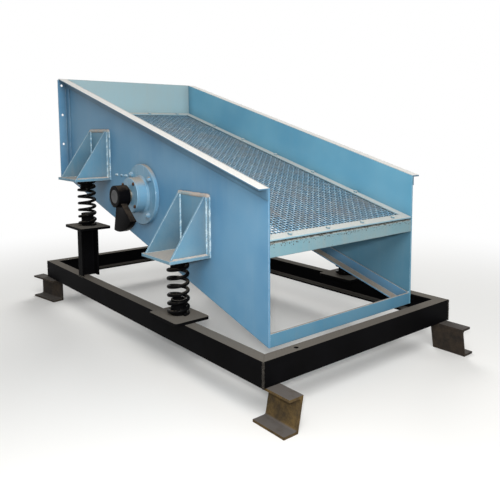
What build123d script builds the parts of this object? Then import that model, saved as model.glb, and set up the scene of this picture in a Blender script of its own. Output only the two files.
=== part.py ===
from build123d import *
from math import cos, pi, radians, sin, tan
import os

# Inclined vibrating sieve: a sloping open body with a woven wire deck stands on four coil springs,
# shaken by an eccentric shaft. +X is the discharge end, -Y the near side, Z = 0 the floor.
# Lengths are in millimetres. "low" and "high" are heights above the body's sloping lower edge.

# Base frame: four rolled channels, mitred at the corners
frame_length = 1580.0
frame_width = 880.0
beam_height = 75.0
beam_flange = 40.0
beam_web = 5.0
beam_flange_t = 7.0
beam_root_r = 6.0
tie_hole_d = 14.0
tie_hole_y = -300.0

# Feet: channel off-cuts under the corners
foot_height = 100.0
foot_flange = 50.0
foot_web = 6.0
foot_flange_t = 7.5
foot_root_r = 8.0
front_foot_length = 125.0
front_foot_overlap = 33.0
front_foot_lean = 20.0
rear_foot_length = 170.0
rear_foot_inset = 100.0
rear_foot_yaw = 10.0

# Sieve body: two side plates joined by cross members
slope = 15.75
body_length = 1432.0
body_width = 680.0
plate_height = 465.0
plate_t = 6.0
body_front_gap = 92.0
body_dip = 15.0
rear_plate_t = 5.0
top_angle_leg = 35.0
edge_angle_leg = 40.0
angle_t = 5.0
chute_hole_d = 11.0
chute_hole_margin = 31.0
chute_hole_rows = 4

# Wire deck and what carries it
deck_high = 312.0
wire_d = 3.5
mesh_pitch = 15.0
wire_end_gap = 6.0
weft_end_gap = 2.0
deck_leg = 40.0
deck_leg_t = 5.0
runner_t = 6.0
runner_h = 25.0
strip_w = 30.0
strip_t = 5.0
clamp_bolt_d = 8.0
clamp_hole_d = 9.0
rear_bolt_inset = 21.0

# Springs and their seats; the front and rear pairs stand this far in from the body's ends
spring_od = 76.0
spring_wire = 12.0
spring_height = 192.0
spring_turns = 7.5
spring_closed_turns = 0.75
spring_y = 408.0
front_spring_x = 375.0
rear_spring_x = 350.0
rear_spring_rise = 209.0
post_setback = 15.0
seat_x = 170.0
seat_y = 130.0
seat_t = 10.0
seat_corner_r = 10.0
lower_guide_height = 52.0
upper_guide_height = 36.0
guide_wall = 5.0
guide_gap = 1.0

# Spring brackets on the side plates
bracket_w = 178.0
bracket_d = 152.0
bracket_h = 200.0
bracket_base_t = 10.0
bracket_plate_t = 8.0
gusset_inset = 12.0
gusset_lip = 8.0

# Eccentric shaft, bearings, weights and pulley
shaft_d = 50.0
shaft_mid_d = 60.0
shaft_rise = 375.0
shaft_tube_od = 100.0
shaft_tube_wall = 5.0
bearing_od = 110.0
bearing_w = 40.0
inner_ring_od = 68.0
outer_ring_id = 92.0
roller_count = 14
roller_gap = 0.3
roller_inset = 4.0
bearing_end_gap = 1.0
seal_gap = 0.3
housing_flange_d = 228.0
housing_flange_t = 15.0
housing_barrel_d = 132.0
housing_lip = 14.0
housing_lip_d = 75.0
housing_edge = 2.0
housing_fillet = 6.0
cover_t = 8.0
housing_bolt_circle_d = 190.0
housing_bolt_d = 12.0
housing_hole_d = 13.0
housing_bolt_start = 40.0
hub_d = 80.0
hub_length = 46.0
hub_standoff = 13.0
weight_r = 130.0
weight_half_angle = 32.0
weight_swing = 19.0
weight_t = 24.0
weight_setback = 10.0
pulley_d = 200.0
pulley_w = 50.0
pulley_rim_t = 10.0
pulley_web_t = 12.0
pulley_hub_d = 90.0
groove_count = 2
groove_pitch = 15.0
groove_depth = 11.0
groove_top_w = 13.0
groove_angle = 38.0
key_w = 14.0
key_h = 9.0
key_depth = 5.5
key_inset = 6.0

# Places worked out from the sizes above
front_foot_end = frame_length / 2 - front_foot_overlap + front_foot_length
rear_foot_end = frame_length / 2 - rear_foot_inset + rear_foot_length * cos(radians(rear_foot_yaw))
frame_x = (rear_foot_end - front_foot_end) / 2
frame_top = foot_height + beam_height
beam_mid_z = foot_height + beam_height / 2
x_front = frame_x + frame_length / 2 - body_front_gap
x_rear = x_front - body_length
y_outer = body_width / 2
y_inner = y_outer - plate_t
wire_r = wire_d / 2
deck_under = deck_high - 2 * wire_d / cos(radians(slope))
shaft_x = (x_front + x_rear) / 2
shaft_z = frame_top + shaft_rise
shaft_axis = Axis((shaft_x, 0, shaft_z), (0, 1, 0))
housing_face = y_outer + housing_flange_t
barrel_face = y_outer + housing_lip + bearing_w
cover_face = barrel_face + cover_t
hub_inner = cover_face + hub_standoff
hub_outer = hub_inner + hub_length
far_weight_inner = hub_inner - hub_standoff / 2
pulley_inner = far_weight_inner + weight_t
pulley_outer = pulley_inner + pulley_w
spring_mean_r = (spring_od - spring_wire) / 2
guide_od = spring_od - 2 * spring_wire - 2 * guide_gap
sides = ((-1, "near"), (1, "far"))
spring_places = (
    ("front", x_front - front_spring_x, frame_top + seat_t),
    ("rear", x_rear + rear_spring_x, frame_top + seat_t + rear_spring_rise),
)

os.makedirs("parts", exist_ok=True)


def edge_z(x):
    """Height of the body's sloping lower edge at x."""
    return frame_top - body_dip + (x_front - x) * tan(radians(slope))


def channel_section(height, flange, web, thick, root_r):
    """C section with its web's back on the local Y axis and its flanges towards local +X."""
    with BuildSketch() as section:
        with Locations((flange / 2, 0)):
            Rectangle(flange, height)
        with Locations((web + flange / 2, 0)):
            Rectangle(flange, height - 2 * thick, mode=Mode.SUBTRACT)
        fillet(section.vertices().group_by(Axis.X)[1], root_r)
    return section.sketch


def sloped_bar(x0, x1, low, high, y0, y1):
    """Bar with upright ends that follows the body's slope, between two heights and two Y places."""
    with BuildPart() as bar:
        with BuildSketch(Plane.XZ.offset(-y0)):
            with BuildLine():
                Polyline(
                    (x0, edge_z(x0) + low),
                    (x1, edge_z(x1) + low),
                    (x1, edge_z(x1) + high),
                    (x0, edge_z(x0) + high),
                    close=True,
                )
            make_face()
        extrude(amount=y0 - y1)
    return bar.part


def side_bar(side, x0, x1, low, high, inner, outer):
    """Sloped bar on one side, between two distances from the middle plane."""
    return sloped_bar(x0, x1, low, high, *sorted((side * inner, side * outer)))


def turned(points, side=1):
    """Ring or disc turned about the shaft axis from (radius, distance from the middle plane) points."""
    with BuildPart() as body:
        with BuildSketch(Plane.XY.offset(shaft_z)):
            with BuildLine():
                Polyline(*[(shaft_x + r, side * y) for r, y in points], close=True)
            make_face()
        revolve(axis=shaft_axis)
    return body.part


def shaft_plane(side, distance):
    """Plane square to the shaft, facing outwards on one side; local X is along +X."""
    return Plane(origin=(shaft_x, side * distance, shaft_z), x_dir=(1, 0, 0), z_dir=(0, side, 0))


def deck_plane(x, y, above):
    """Plane square to a line through the deck at x and y, a distance above the wire's top."""
    tilt = radians(slope)
    normal = Vector(sin(tilt), 0, cos(tilt))
    return Plane(
        origin=Vector(x, y, edge_z(x) + deck_high) + normal * above,
        x_dir=(cos(tilt), 0, -sin(tilt)),
        z_dir=normal,
    )


# Base frame beams
beam_places = (
    ("near", frame_length, (0, -frame_width / 2), (1, 0), (0, 1)),
    ("far", frame_length, (0, frame_width / 2), (1, 0), (0, -1)),
    ("front", frame_width, (frame_length / 2, 0), (0, 1), (-1, 0)),
    ("rear", frame_width, (-frame_length / 2, 0), (0, 1), (1, 0)),
)
for name, length, middle, along, inward in beam_places:
    direction = Vector(*along)
    inside = Vector(*inward)
    centre = Vector(frame_x + middle[0], middle[1], beam_mid_z)
    with BuildPart() as beam:
        with BuildSketch(Plane(origin=centre - direction * (length / 2), x_dir=inside, z_dir=direction)):
            add(channel_section(beam_height, beam_flange, beam_web, beam_flange_t, beam_root_r))
        extrude(amount=length)
        for end in (-1, 1):
            corner = centre + direction * (end * length / 2)
            split(bisect_by=Plane(origin=corner, z_dir=direction * end + inside), keep=Keep.BOTTOM)
        if name == "front":
            with Locations((centre.X - beam_flange / 2, tie_hole_y, frame_top - beam_flange_t / 2)):
                Cylinder(tie_hole_d / 2, 2 * beam_flange_t, mode=Mode.SUBTRACT)
    beam.part.label = f"frame_beam_{name}"
    export_step(beam.part, f"parts/frame_beam_{name}.step")

# Feet, webs towards the middle and flanges outward; the front webs lean in, the rear feet stand askew
web_back = frame_width / 2 - beam_flange
web_lean = front_foot_lean / foot_height
inner_top = foot_height - foot_flange_t
leaning_outline = (
    (web_back, 0),
    (web_back + foot_flange, 0),
    (web_back + foot_flange, foot_flange_t),
    (web_back + foot_web - web_lean * foot_flange_t, foot_flange_t),
    (web_back + foot_web - web_lean * inner_top, inner_top),
    (web_back + foot_flange - front_foot_lean, inner_top),
    (web_back + foot_flange - front_foot_lean, foot_height),
    (web_back - front_foot_lean, foot_height),
)
for side, name in sides:
    corners = [(side * y, z) for y, z in leaning_outline]
    with BuildPart() as front_foot:
        with BuildSketch(Plane.YZ.offset(frame_x + frame_length / 2 - front_foot_overlap)) as section:
            with BuildLine():
                Polyline(*corners, close=True)
            make_face()
            roots = [section.vertices().sort_by_distance(corner)[0] for corner in corners[3:5]]
            fillet(roots, foot_root_r)
        extrude(amount=front_foot_length)
    front_foot.part.label = f"foot_front_{name}"
    export_step(front_foot.part, f"parts/foot_front_{name}.step")

    yaw = radians(rear_foot_yaw)
    rear_start = Vector(
        frame_x - frame_length / 2 + rear_foot_inset, side * (frame_width / 2 - 0.8 * beam_flange), foot_height / 2
    )
    with BuildPart() as rear_foot:
        with BuildSketch(
            Plane(origin=rear_start, x_dir=(sin(yaw), side * cos(yaw), 0), z_dir=(-cos(yaw), side * sin(yaw), 0))
        ):
            add(channel_section(foot_height, foot_flange, foot_web, foot_flange_t, foot_root_r))
        extrude(amount=rear_foot_length)
    rear_foot.part.label = f"foot_rear_{name}"
    export_step(rear_foot.part, f"parts/foot_rear_{name}.step")

# Rear posts: upright channels flush with the frame's outer face, open towards the discharge end
for side, name in sides:
    post_x = x_rear + rear_spring_x - post_setback - beam_flange / 2
    post_y = side * (frame_width / 2 - beam_height / 2)
    with BuildPart() as post:
        with BuildSketch(Plane(origin=(post_x, post_y, frame_top), x_dir=(1, 0, 0), z_dir=(0, 0, 1))):
            add(channel_section(beam_height, beam_flange, beam_web, beam_flange_t, beam_root_r))
        extrude(amount=rear_spring_rise)
    post.part.label = f"post_{name}"
    export_step(post.part, f"parts/post_{name}.step")

# Spring seats, springs and the brackets above them
active_turns = spring_turns - 2 * spring_closed_turns
ground_off = 0.25 * spring_wire
closed_pitch = 1.06 * spring_wire
wire_rise = spring_height - spring_wire + 2 * ground_off
active_pitch = (wire_rise - 2 * spring_closed_turns * closed_pitch) / active_turns
path_steps = 12


def wire_height(turn):
    """Height of the spring wire's centre after a number of turns, with closed turns at both ends."""
    lower = min(turn, spring_closed_turns) * closed_pitch
    middle = max(0.0, min(turn - spring_closed_turns, active_turns)) * active_pitch
    upper = max(0.0, turn - spring_closed_turns - active_turns) * closed_pitch
    return lower + middle + upper


for end, x, seat_top in spring_places:
    for side, name in sides:
        y = side * spring_y
        with BuildPart() as seat:
            with BuildSketch(Plane.XY.offset(seat_top - seat_t)):
                with Locations((x, y)):
                    RectangleRounded(seat_x, seat_y, seat_corner_r)
            extrude(amount=seat_t)
        seat.part.label = f"spring_seat_{end}_{name}"
        export_step(seat.part, f"parts/spring_seat_{end}_{name}.step")

        start_z = seat_top + spring_wire / 2 - ground_off
        turns = [step / path_steps for step in range(int(spring_turns * path_steps) + 1)]
        with BuildPart() as spring:
            with BuildLine() as path:
                Spline(
                    *[
                        (
                            x + spring_mean_r * cos(2 * pi * turn),
                            y + spring_mean_r * sin(2 * pi * turn),
                            start_z + wire_height(turn),
                        )
                        for turn in turns
                    ]
                )
            with BuildSketch(Plane(origin=path.line @ 0, z_dir=path.line % 0)):
                Circle(spring_wire / 2)
            sweep(path=path.line, is_frenet=True)
            split(bisect_by=Plane.XY.offset(seat_top), keep=Keep.TOP)
            split(bisect_by=Plane.XY.offset(seat_top + spring_height), keep=Keep.BOTTOM)
        spring.part.label = f"spring_{end}_{name}"
        export_step(spring.part, f"parts/spring_{end}_{name}.step")

        base_z = seat_top + spring_height
        back_y = side * y_outer
        with BuildPart() as bracket:
            with BuildSketch(Plane.XY.offset(base_z)):
                with Locations((x, side * (y_outer + bracket_d / 2))):
                    Rectangle(bracket_w, bracket_d)
            extrude(amount=bracket_base_t)
            with BuildSketch(Plane.XY.offset(base_z)):
                with Locations((x, side * (y_outer + bracket_plate_t / 2))):
                    Rectangle(bracket_w, bracket_plate_t)
            extrude(amount=bracket_h)
            for edge in (-1, 1):
                gusset_x = x + edge * (bracket_w / 2 - gusset_inset) - bracket_plate_t / 2
                foot_z = base_z + bracket_base_t
                with BuildSketch(Plane.YZ.offset(gusset_x)):
                    with BuildLine():
                        Polyline(
                            (back_y, foot_z),
                            (back_y + side * (bracket_d - gusset_lip), foot_z),
                            (back_y + side * (bracket_plate_t + gusset_lip), base_z + bracket_h),
                            (back_y, base_z + bracket_h),
                            close=True,
                        )
                    make_face()
                extrude(amount=bracket_plate_t)
        bracket.part.label = f"spring_bracket_{end}_{name}"
        export_step(bracket.part, f"parts/spring_bracket_{end}_{name}.step")

# Guides inside the ends of the springs
with BuildPart() as lower_guides:
    for end, x, seat_top in spring_places:
        with BuildSketch(Plane.XY.offset(seat_top)):
            with Locations((x, -spring_y), (x, spring_y)):
                Circle(guide_od / 2)
                Circle(guide_od / 2 - guide_wall, mode=Mode.SUBTRACT)
        extrude(amount=lower_guide_height)
lower_guides.part.label = "lower_spring_guides"
export_step(lower_guides.part, "parts/lower_spring_guides.step")

with BuildPart() as upper_guides:
    for end, x, seat_top in spring_places:
        with BuildSketch(Plane.XY.offset(seat_top + spring_height - upper_guide_height)):
            with Locations((x, -spring_y), (x, spring_y)):
                Circle(guide_od / 2)
                Circle(guide_od / 2 - guide_wall, mode=Mode.SUBTRACT)
        extrude(amount=upper_guide_height)
upper_guides.part.label = "upper_spring_guides"
export_step(upper_guides.part, "parts/upper_spring_guides.step")

# Side plates with the shaft's opening and the housing's bolt holes
for side, name in sides:
    with BuildPart() as side_plate:
        add(side_bar(side, x_rear, x_front, 0, plate_height, y_inner, y_outer))
        with BuildSketch(shaft_plane(side, y_inner)):
            Circle(shaft_tube_od / 2 - shaft_tube_wall)
            with PolarLocations(housing_bolt_circle_d / 2, 4, start_angle=housing_bolt_start):
                Circle(housing_hole_d / 2)
        extrude(amount=plate_t, mode=Mode.SUBTRACT)
    side_plate.part.label = f"side_plate_{name}"
    export_step(side_plate.part, f"parts/side_plate_{name}.step")

    with BuildPart() as top_angle:
        add(side_bar(side, x_rear, x_front, plate_height - top_angle_leg, plate_height, y_outer, y_outer + angle_t))
        add(side_bar(side, x_rear, x_front, plate_height - angle_t, plate_height, y_outer, y_outer + top_angle_leg))
    top_angle.part.label = f"top_angle_{name}"
    export_step(top_angle.part, f"parts/top_angle_{name}.step")

    chute_hole_y = side * (y_outer + (angle_t + edge_angle_leg) / 2)
    chute_hole_top = edge_z(x_rear) + plate_height - chute_hole_margin
    chute_hole_pitch = (plate_height - 2 * chute_hole_margin) / (chute_hole_rows - 1)
    with BuildPart() as rear_angle:
        add(side_bar(side, x_rear, x_rear + edge_angle_leg, 0, plate_height - top_angle_leg, y_outer, y_outer + angle_t))
        add(
            side_bar(
                side, x_rear, x_rear + angle_t, 0, plate_height - angle_t, y_outer + angle_t, y_outer + edge_angle_leg
            )
        )
        with BuildSketch(Plane.YZ.offset(x_rear)):
            with Locations(*[(chute_hole_y, chute_hole_top - row * chute_hole_pitch) for row in range(chute_hole_rows)]):
                Circle(chute_hole_d / 2)
        extrude(amount=angle_t, mode=Mode.SUBTRACT)
    rear_angle.part.label = f"rear_angle_{name}"
    export_step(rear_angle.part, f"parts/rear_angle_{name}.step")

    with BuildPart() as bottom_angle:
        add(side_bar(side, x_rear + rear_plate_t, x_front - angle_t, 0, edge_angle_leg, y_inner - angle_t, y_inner))
        add(side_bar(side, x_rear + rear_plate_t, x_front - angle_t, 0, angle_t, y_inner - edge_angle_leg, y_inner))
    bottom_angle.part.label = f"bottom_angle_{name}"
    export_step(bottom_angle.part, f"parts/bottom_angle_{name}.step")

# Plates and angles across the body
with BuildPart() as rear_plate:
    add(sloped_bar(x_rear, x_rear + rear_plate_t, 0, plate_height, -y_inner, y_inner))
rear_plate.part.label = "rear_plate"
export_step(rear_plate.part, "parts/rear_plate.step")

cross_half = y_inner - edge_angle_leg
with BuildPart() as front_cross_angle:
    add(sloped_bar(x_front - angle_t, x_front, 0, edge_angle_leg, -y_inner, y_inner))
    add(sloped_bar(x_front - edge_angle_leg, x_front - angle_t, 0, angle_t, -cross_half, cross_half))
front_cross_angle.part.label = "front_cross_angle"
export_step(front_cross_angle.part, "parts/front_cross_angle.step")

# Deck: clamp bolts stand in the gaps between wires, so the wire spacing follows the strips' middles
strip_mid = strip_w / 2
deck_rear = x_rear + rear_plate_t
deck_cos = cos(radians(slope))
bolt_span_x = (x_front - strip_mid - deck_rear - rear_bolt_inset) / deck_cos
bolt_span_y = 2 * (y_inner - strip_mid)
weft_gaps = round(bolt_span_x / mesh_pitch)
warp_gaps = round(bolt_span_y / mesh_pitch)
weft_pitch = bolt_span_x / weft_gaps
warp_pitch = bolt_span_y / warp_gaps


def weft_x(gap):
    """X of a place on the deck, counted in wire gaps uphill from the front strip's middle."""
    return x_front - strip_mid - gap * weft_pitch * deck_cos


def warp_y(gap):
    """Y of a place on the deck, counted in wire gaps from the near strip's middle."""
    return -bolt_span_y / 2 + gap * warp_pitch


cross_bolt_gaps = (5, 16, warp_gaps - 16, warp_gaps - 5)
long_bolt_gaps = [round(weft_gaps * part / 6) for part in range(1, 6)]
front_bolts = [(weft_x(0), warp_y(gap)) for gap in cross_bolt_gaps]
rear_bolts = [(weft_x(weft_gaps), warp_y(gap)) for gap in cross_bolt_gaps]
side_bolts = {side: [(weft_x(gap), side * bolt_span_y / 2) for gap in long_bolt_gaps] for side, name in sides}


def drilled(piece, places):
    """The piece with a clamp bolt hole, square to the deck, at each place."""
    with BuildPart() as result:
        add(piece)
        with Locations(*[deck_plane(x, y, 0).location for x, y in places]):
            Cylinder(clamp_hole_d / 2, 6 * deck_leg_t, mode=Mode.SUBTRACT)
    return result.part


# Members under the wire: a folded angle across each end, a ledge on each side
end_members = (
    ("front_deck_beam", x_front - deck_leg_t, x_front, x_front - deck_leg, x_front, front_bolts),
    ("rear_deck_ledge", deck_rear, deck_rear + deck_leg_t, deck_rear, deck_rear + deck_leg, rear_bolts),
)
for label, web_x0, web_x1, leg_x0, leg_x1, places in end_members:
    with BuildPart() as folded:
        add(sloped_bar(web_x0, web_x1, deck_under - deck_leg, deck_under, -y_inner, y_inner))
        add(sloped_bar(leg_x0, leg_x1, deck_under - deck_leg_t, deck_under, -y_inner, y_inner))
    with BuildPart() as end_member:
        add(drilled(folded.part, places))
    end_member.part.label = label
    export_step(end_member.part, f"parts/{label}.step")

ledge_x0 = deck_rear + deck_leg
ledge_x1 = x_front - deck_leg
for side, name in sides:
    with BuildPart() as plain_ledge:
        add(side_bar(side, ledge_x0, ledge_x1, deck_under - deck_leg, deck_under, y_inner - deck_leg_t, y_inner))
        add(side_bar(side, ledge_x0, ledge_x1, deck_under - deck_leg_t, deck_under, y_inner - deck_leg, y_inner))
    with BuildPart() as ledge:
        add(drilled(plain_ledge.part, side_bolts[side]))
    ledge.part.label = f"deck_ledge_{name}"
    export_step(ledge.part, f"parts/deck_ledge_{name}.step")

bearer_half = y_inner - deck_leg_t
bearer_high = deck_under - runner_h
with BuildPart() as bearers:
    for place in (1 / 3, 2 / 3):
        rear_x = x_front - place * body_length - deck_leg / 2
        web_end = rear_x + deck_leg_t
        leg_end = rear_x + deck_leg
        add(sloped_bar(rear_x, web_end, bearer_high - deck_leg, bearer_high, -bearer_half, bearer_half))
        add(sloped_bar(rear_x, leg_end, bearer_high - deck_leg_t, bearer_high, -bearer_half, bearer_half))
bearers.part.label = "deck_bearers"
export_step(bearers.part, "parts/deck_bearers.step")

runner_spacing = 2 * (y_inner - deck_leg) / 4
with BuildPart() as runners:
    for row in (-1, 0, 1):
        runner_y = row * runner_spacing
        add(
            sloped_bar(
                ledge_x0, ledge_x1, deck_under - runner_h, deck_under, runner_y - runner_t / 2, runner_y + runner_t / 2
            )
        )
runners.part.label = "deck_runners"
export_step(runners.part, "parts/deck_runners.step")

# Wire deck: wires along the slope below, wires across on top of them
weft_half = y_inner - weft_end_gap
warp_start = deck_plane(deck_rear + wire_end_gap, 0, -3 * wire_r)
warp_length = (x_front - deck_rear - 2 * wire_end_gap) / deck_cos
with BuildPart() as mesh:
    with BuildSketch(Plane.XZ.offset(weft_half)):
        for gap in range(-1, weft_gaps + 1):
            wire_plane = deck_plane(weft_x(gap + 0.5), 0, -wire_r)
            with Locations((wire_plane.origin.X, wire_plane.origin.Z)):
                Circle(wire_r)
    extrude(amount=-2 * weft_half)
    with BuildSketch(Plane(origin=warp_start.origin, x_dir=(0, 1, 0), z_dir=warp_start.x_dir)):
        with Locations(*[(warp_y(gap + 0.5), 0) for gap in range(-1, warp_gaps + 1)]):
            Circle(wire_r)
    extrude(amount=warp_length)
mesh.part.label = "wire_mesh"
export_step(mesh.part, "parts/wire_mesh.step")

# Clamp strips on the wire's edges and their bolts
strip_top = deck_high + strip_t / deck_cos
strip_bars = (
    ("front", sloped_bar(x_front - strip_w, x_front, deck_high, strip_top, -y_inner, y_inner), front_bolts),
    ("rear", sloped_bar(deck_rear, deck_rear + strip_w, deck_high, strip_top, -y_inner, y_inner), rear_bolts),
) + tuple(
    (
        name,
        side_bar(
            side, deck_rear + strip_w, x_front - strip_w, deck_high, strip_top, y_inner - strip_w, y_inner
        ),
        side_bolts[side],
    )
    for side, name in sides
)
for name, bar, places in strip_bars:
    with BuildPart() as strip:
        add(drilled(bar, places))
    strip.part.label = f"clamp_strip_{name}"
    export_step(strip.part, f"parts/clamp_strip_{name}.step")

clamp_places = front_bolts + rear_bolts + side_bolts[-1] + side_bolts[1]
nut_across = 1.625 * clamp_bolt_d
nut_h = 0.8 * clamp_bolt_d
clamp_grip = strip_t + 2 * wire_d + deck_leg_t * deck_cos
with BuildPart() as clamp_bolts:
    for x, y in clamp_places:
        with BuildSketch(deck_plane(x, y, strip_t)):
            RegularPolygon(nut_across / 2, 6, major_radius=False)
        extrude(amount=nut_h)
        with BuildSketch(deck_plane(x, y, strip_t - clamp_grip - nut_h)):
            Circle(clamp_bolt_d / 2)
        extrude(amount=clamp_grip + nut_h)
        with BuildSketch(deck_plane(x, y, strip_t - clamp_grip - nut_h)):
            RegularPolygon(nut_across / 2, 6, major_radius=False)
        extrude(amount=nut_h)
clamp_bolts.part.label = "clamp_bolts"
export_step(clamp_bolts.part, "parts/clamp_bolts.step")

# Tube round the shaft between the side plates
tube_r = shaft_tube_od / 2
with BuildPart() as shaft_tube:
    add(
        turned(
            [
                (tube_r - shaft_tube_wall, -y_inner),
                (tube_r, -y_inner),
                (tube_r, y_inner),
                (tube_r - shaft_tube_wall, y_inner),
            ]
        )
    )
shaft_tube.part.label = "shaft_tube"
export_step(shaft_tube.part, "parts/shaft_tube.step")

# Bearing housings and their covers
flange_r = housing_flange_d / 2
barrel_r = housing_barrel_d / 2
bore_r = bearing_od / 2
seal_r = shaft_d / 2 + seal_gap
bearing_start = y_outer + housing_lip
for side, name in sides:
    with BuildPart() as housing:
        add(
            turned(
                [
                    (housing_lip_d / 2, y_outer),
                    (flange_r, y_outer),
                    (flange_r, housing_face - housing_edge),
                    (flange_r - housing_edge, housing_face),
                    (barrel_r + housing_fillet, housing_face),
                    (barrel_r, housing_face + housing_fillet),
                    (barrel_r, barrel_face),
                    (bore_r, barrel_face),
                    (bore_r, bearing_start),
                    (housing_lip_d / 2, bearing_start),
                ],
                side,
            )
        )
        with BuildSketch(shaft_plane(side, y_outer)):
            with PolarLocations(housing_bolt_circle_d / 2, 4, start_angle=housing_bolt_start):
                Circle(housing_hole_d / 2)
        extrude(amount=housing_flange_t, mode=Mode.SUBTRACT)
    housing.part.label = f"bearing_housing_{name}"
    export_step(housing.part, f"parts/bearing_housing_{name}.step")

    with BuildPart() as cover:
        add(
            turned(
                [
                    (seal_r, barrel_face),
                    (barrel_r, barrel_face),
                    (barrel_r, cover_face - housing_edge),
                    (barrel_r - housing_edge, cover_face),
                    (seal_r, cover_face),
                ],
                side,
            )
        )
    cover.part.label = f"bearing_cover_{name}"
    export_step(cover.part, f"parts/bearing_cover_{name}.step")


def bearing_ring(side, inner_d, outer_d, end_gap):
    """Plain ring as wide as a bearing, less a gap at its outer end."""
    return turned(
        [
            (inner_d / 2, bearing_start),
            (outer_d / 2, bearing_start),
            (outer_d / 2, barrel_face - end_gap),
            (inner_d / 2, barrel_face - end_gap),
        ],
        side,
    )


# Bearings: outer rings in the housings, inner rings on the shaft, rollers between
with BuildPart() as outer_rings:
    for side, name in sides:
        add(bearing_ring(side, outer_ring_id, bearing_od, 0.0))
outer_rings.part.label = "bearing_outer_rings"
export_step(outer_rings.part, "parts/bearing_outer_rings.step")

with BuildPart() as inner_rings:
    for side, name in sides:
        add(bearing_ring(side, shaft_d, inner_ring_od, bearing_end_gap))
inner_rings.part.label = "bearing_inner_rings"
export_step(inner_rings.part, "parts/bearing_inner_rings.step")

roller_r = (outer_ring_id - inner_ring_od) / 4 - roller_gap / 2
with BuildPart() as rollers:
    for side, name in sides:
        with BuildSketch(shaft_plane(side, bearing_start + roller_inset)):
            with PolarLocations(inner_ring_od / 2 + roller_r, roller_count):
                Circle(roller_r)
        extrude(amount=bearing_w - 2 * roller_inset)
rollers.part.label = "bearing_rollers"
export_step(rollers.part, "parts/bearing_rollers.step")

# Studs in the side plates with nuts on the housing flanges
stud_nut_across = 1.5 * housing_bolt_d
stud_nut_h = 0.8 * housing_bolt_d
stud_end = 0.3 * housing_bolt_d
with BuildPart() as housing_studs:
    for side, name in sides:
        with BuildSketch(shaft_plane(side, y_inner)):
            with PolarLocations(housing_bolt_circle_d / 2, 4, start_angle=housing_bolt_start):
                Circle(housing_bolt_d / 2)
        extrude(amount=plate_t + housing_flange_t + stud_nut_h + stud_end)
        with BuildSketch(shaft_plane(side, housing_face)):
            with PolarLocations(housing_bolt_circle_d / 2, 4, start_angle=housing_bolt_start):
                RegularPolygon(stud_nut_across / 2, 6, major_radius=False)
        extrude(amount=stud_nut_h)
housing_studs.part.label = "housing_studs"
export_step(housing_studs.part, "parts/housing_studs.step")

# Shaft, stepped at the bearings, with keyways on top at both ends
near_end = hub_outer
far_end = pulley_outer
key_bottom = shaft_d / 2 - key_depth
key_spans = (
    (-(hub_outer - key_inset), -(hub_inner + key_inset)),
    (far_weight_inner + key_inset, pulley_outer - key_inset),
)
shoulder = y_outer + housing_lip
with BuildPart() as shaft:
    add(
        turned(
            [
                (0, -near_end),
                (shaft_d / 2, -near_end),
                (shaft_d / 2, -shoulder),
                (shaft_mid_d / 2, -shoulder),
                (shaft_mid_d / 2, shoulder),
                (shaft_d / 2, shoulder),
                (shaft_d / 2, far_end),
                (0, far_end),
            ]
        )
    )
    for y0, y1 in key_spans:
        with Locations((shaft_x, (y0 + y1) / 2, shaft_z + key_bottom + key_h)):
            Box(key_w, y1 - y0, 2 * key_h, mode=Mode.SUBTRACT)
shaft.part.label = "shaft"
export_step(shaft.part, "parts/shaft.step")

with BuildPart() as keys:
    for y0, y1 in key_spans:
        with Locations((shaft_x, (y0 + y1) / 2, shaft_z + key_bottom + key_h / 2)):
            Box(key_w, y1 - y0, key_h)
keys.part.label = "shaft_keys"
export_step(keys.part, "parts/shaft_keys.step")


def keyed_bore(piece):
    """The piece with the shaft's bore and a keyway through it."""
    with BuildPart() as result:
        add(piece)
        add(turned([(0, -far_end), (shaft_d / 2, -far_end), (shaft_d / 2, far_end), (0, far_end)]), mode=Mode.SUBTRACT)
        with Locations((shaft_x, 0, shaft_z + key_bottom + key_h / 2)):
            Box(key_w, 2 * far_end, key_h, mode=Mode.SUBTRACT)
    return result.part


# Hanging sector weights on their hubs
weight_places = (
    ("near", -1, hub_inner, hub_length, hub_outer - weight_setback - weight_t),
    ("far", 1, far_weight_inner, weight_t, far_weight_inner),
)
for name, side, hub_start, hub_l, sector_start in weight_places:
    with BuildPart() as blank:
        with BuildSketch(shaft_plane(side, hub_start)):
            Circle(hub_d / 2)
        extrude(amount=hub_l)
        with BuildSketch(Plane.XZ.offset(-side * sector_start)):
            with BuildLine():
                rim_start = weight_swing - 90 - weight_half_angle
                rim = CenterArc((shaft_x, shaft_z), weight_r, rim_start, 2 * weight_half_angle)
                Line(rim @ 1, (shaft_x, shaft_z))
                Line((shaft_x, shaft_z), rim @ 0)
            make_face()
        extrude(amount=-side * weight_t)
    with BuildPart() as weight:
        add(keyed_bore(blank.part))
    weight.part.label = f"counterweight_{name}"
    export_step(weight.part, f"parts/counterweight_{name}.step")

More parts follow.
